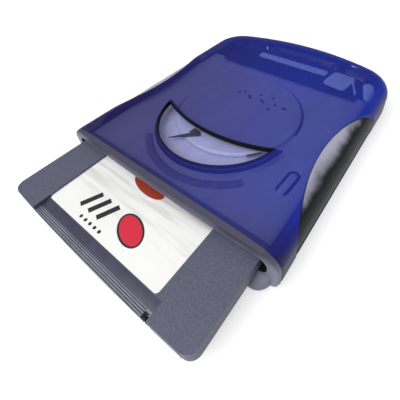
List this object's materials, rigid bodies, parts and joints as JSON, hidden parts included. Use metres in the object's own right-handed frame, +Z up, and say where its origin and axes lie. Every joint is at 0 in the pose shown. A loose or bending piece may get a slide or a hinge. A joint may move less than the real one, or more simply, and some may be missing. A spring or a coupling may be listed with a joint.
{
  "type": "disk drive",
  "caption": "Desktop removable disk drive with a translucent case, grip panels and a window, and a disk cartridge standing part way out of its front slot.",
  "frame": {"origin": "Middle of the footprint, cartridge included, on the desk under the rubber feet.", "axes": "+X to the drive's right seen from the front, +Y to the back, +Z up. The cartridge leaves towards -Y."},
  "size_m": [0.113, 0.167, 0.0205],
  "materials": {
    "shell_plastic": "glossy translucent blue moulding",
    "base_plastic": "glossy, nearly opaque dark blue moulding",
    "bezel_plastic": "satin purple-grey moulding",
    "grip_plastic": "satin silver-grey, finely grained",
    "clear_plastic": "clear polished moulding",
    "black_plastic": "satin black moulding",
    "white_plastic": "satin white moulding",
    "foot_rubber": "soft black rubber",
    "bright_steel": "bright plated steel",
    "sheet_steel": "dull zinc-plated sheet, brushed along its length",
    "copper_wire": "enamelled copper winding",
    "board_green": "green solder mask with fine tracks",
    "can_aluminium": "bare drawn can",
    "button_plastic": "semi-gloss slate moulding",
    "cartridge_plastic": "satin slate grey, finely grained",
    "label_paper": "white glossy paper, printed with plain red and black marks",
    "media_film": "dark brown magnetic coating"
  },
  "bodies": {
    "drive": {"top_shell": "shell_plastic", "bottom_shell": "base_plastic", "front_bezel": "bezel_plastic", "left_grip": "grip_plastic", "right_grip": "grip_plastic", "window_lens": "clear_plastic", "window_gasket": "black_plastic", "rubber_feet": "foot_rubber", "case_screws": "bright_steel", "light_pipe": "clear_plastic", "front_board": "board_green", "eject_switch": "black_plastic", "chassis_tray": "sheet_steel", "top_shield": "sheet_steel", "shield_spring": "bright_steel", "left_rail": "black_plastic", "right_rail": "black_plastic", "motor_base": "sheet_steel", "motor_stator": "copper_wire", "main_board": "board_green", "board_chips": "black_plastic", "smoothing_capacitor": "can_aluminium", "board_ribbon": "white_plastic", "usb_socket": "bright_steel", "usb_tongue": "white_plastic", "power_jack": "black_plastic", "power_pin": "bright_steel", "actuator_yoke": "sheet_steel", "actuator_magnets": "bright_steel", "guide_rods": "bright_steel", "eject_solenoid": "sheet_steel", "latch_pin": "bright_steel"},
    "cartridge": {"cartridge_top_case": "cartridge_plastic", "cartridge_bottom_case": "cartridge_plastic", "cartridge_label": "label_paper", "cartridge_mark": "white_plastic"},
    "shutter": {"shutter": "bright_steel"},
    "media": {"media_disc": "media_film", "media_hub": "bright_steel"},
    "button": {"eject_button": "button_plastic"},
    "rotor": {"spindle_rotor": "bright_steel", "chuck_magnet": "black_plastic"},
    "carriage": {"head_carriage": "black_plastic", "voice_coils": "copper_wire", "upper_head_arm": "bright_steel", "lower_head_arm": "bright_steel"},
    "trolley": {"eject_trolley": "white_plastic"},
    "plunger": {"solenoid_plunger": "bright_steel"},
    "latch": {"latch_lever": "sheet_steel"}
  },
  "joints": [
    {"name": "cartridge_slide", "type": "slide", "parent": "drive", "child": "cartridge", "axis": [0, -1, 0], "range_m": [-0.03, 0.055]},
    {"name": "shutter_slide", "type": "slide", "parent": "cartridge", "child": "shutter", "axis": [1, 0, 0], "range_m": [0, 0.0185], "stiffness_N_per_m": 20},
    {"name": "media_spin", "type": "hinge", "parent": "cartridge", "child": "media", "pos_m": [0, -0.0315, 0.01], "axis": [0, 0, 1], "continuous": true},
    {"name": "button_press", "type": "slide", "parent": "drive", "child": "button", "axis": [0, 1, 0], "range_m": [0, 0.001], "stiffness_N_per_m": 200},
    {"name": "spindle_spin", "type": "hinge", "parent": "drive", "child": "rotor", "pos_m": [0, -0.0015, 0.005], "axis": [0, 0, 1], "continuous": true},
    {"name": "carriage_slide", "type": "slide", "parent": "drive", "child": "carriage", "axis": [0, -1, 0], "range_m": [0, 0.02]},
    {"name": "trolley_slide", "type": "slide", "parent": "drive", "child": "trolley", "axis": [0, -1, 0], "range_m": [0, 0.012]},
    {"name": "plunger_slide", "type": "slide", "parent": "drive", "child": "plunger", "axis": [1, 0, 0], "range_m": [0, 0.002]},
    {"name": "latch_swing", "type": "hinge", "parent": "drive", "child": "latch", "pos_m": [0.0262, 0.0625, 0.0102], "axis": [0, 0, 1], "range_deg": [0, 15.2], "stiffness_Nm_per_rad": 0.003}
  ],
  "couplings": [
    {"joint": "latch_swing", "follows": "plunger_slide", "rad_per_m": 132.6}
  ]
}
